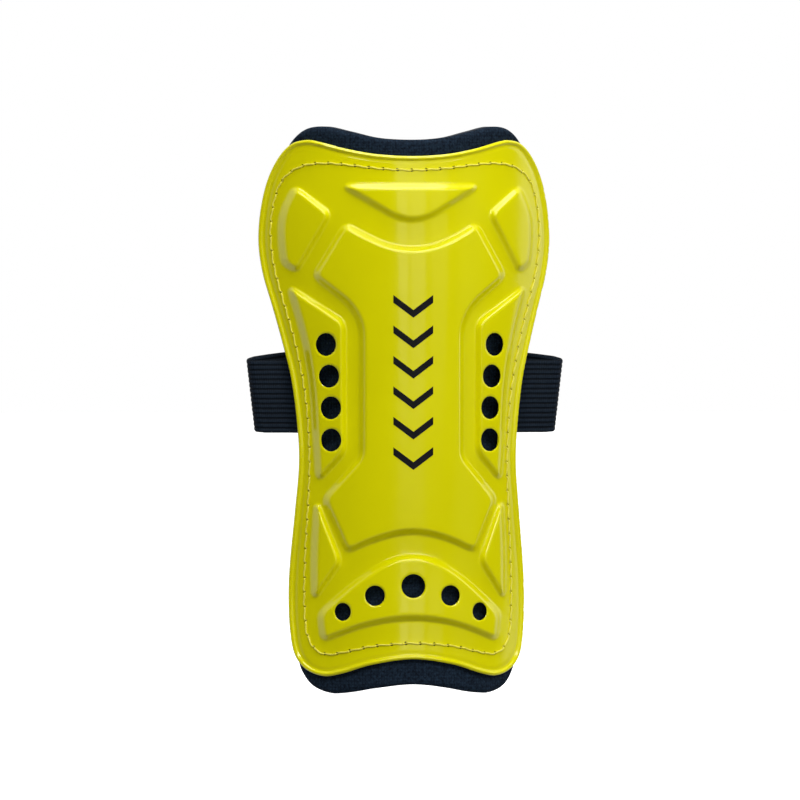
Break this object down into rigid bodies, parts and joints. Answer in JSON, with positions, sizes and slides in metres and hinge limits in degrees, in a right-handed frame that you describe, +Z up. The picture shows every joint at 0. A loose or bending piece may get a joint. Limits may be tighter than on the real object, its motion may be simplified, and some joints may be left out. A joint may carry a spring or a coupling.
{
  "type": "shin guard",
  "caption": "Formed plastic shin guard with raised panels and vent holes, sewn to a foam pad, held behind the leg by an elastic hook-and-loop strap.",
  "frame": {"origin": "on the lining's inner surface, on the centre line, at the strap's mid-height: where the shin bone lies", "axes": "+Z up the shin towards the knee, -Y out of the front of the shell, +X to the right seen from the front"},
  "size_m": [0.1284, 0.0528, 0.2278],
  "materials": {
    "yellow_plastic": "glossy formed sheet",
    "navy_knit": "brushed knit",
    "dark_foam": "closed-cell foam",
    "black_elastic": "ribbed elastic webbing",
    "black_hook": "moulded hooks",
    "black_loop": "brushed loop pile",
    "yellow_thread": "twisted polyester thread",
    "dark_thread": "twisted polyester thread",
    "black_ink": "screen-printed ink"
  },
  "bodies": {
    "guard": {"shell": "yellow_plastic", "face_fabric": "navy_knit", "foam_pad": "dark_foam", "lining_fabric": "navy_knit", "perimeter_needle_thread": "yellow_thread", "perimeter_bobbin_thread": "dark_thread", "strap_left_side": "black_elastic", "strap_left_fold": "black_elastic", "strap_right_side": "black_elastic", "strap_right_fold": "black_elastic"},
    "left_band": {"strap_left_band": "black_elastic"},
    "right_band": {"strap_right_band": "black_elastic", "loop_patch": "black_loop", "loop_patch_thread": "dark_thread"},
    "tab": {"hook_tab": "black_elastic", "hook_patch": "black_hook", "hook_patch_thread": "dark_thread"}
  },
  "joints": [
    {"name": "strap_left_swing", "type": "hinge", "parent": "guard", "child": "left_band", "pos_m": [-0.0589, 0.021, 0], "axis": [-0.1132, 0, 0.9936], "range_deg": [0, 150], "deforming": ["strap_left_fold"]},
    {"name": "strap_right_swing", "type": "hinge", "parent": "guard", "child": "right_band", "pos_m": [0.0589, 0.021, 0], "axis": [-0.1132, 0, -0.9936], "range_deg": [0, 60], "deforming": ["strap_right_fold"]},
    {"name": "hook_tab_peel", "type": "hinge", "parent": "left_band", "child": "tab", "pos_m": [-0.0123, 0.0403, 0.0043], "axis": [0, 0, 1], "range_deg": [0, 110]}
  ],
  "couplings": [
    {"joint": "strap_right_swing", "follows": "strap_left_swing", "ratio": 0.4}
  ]
}
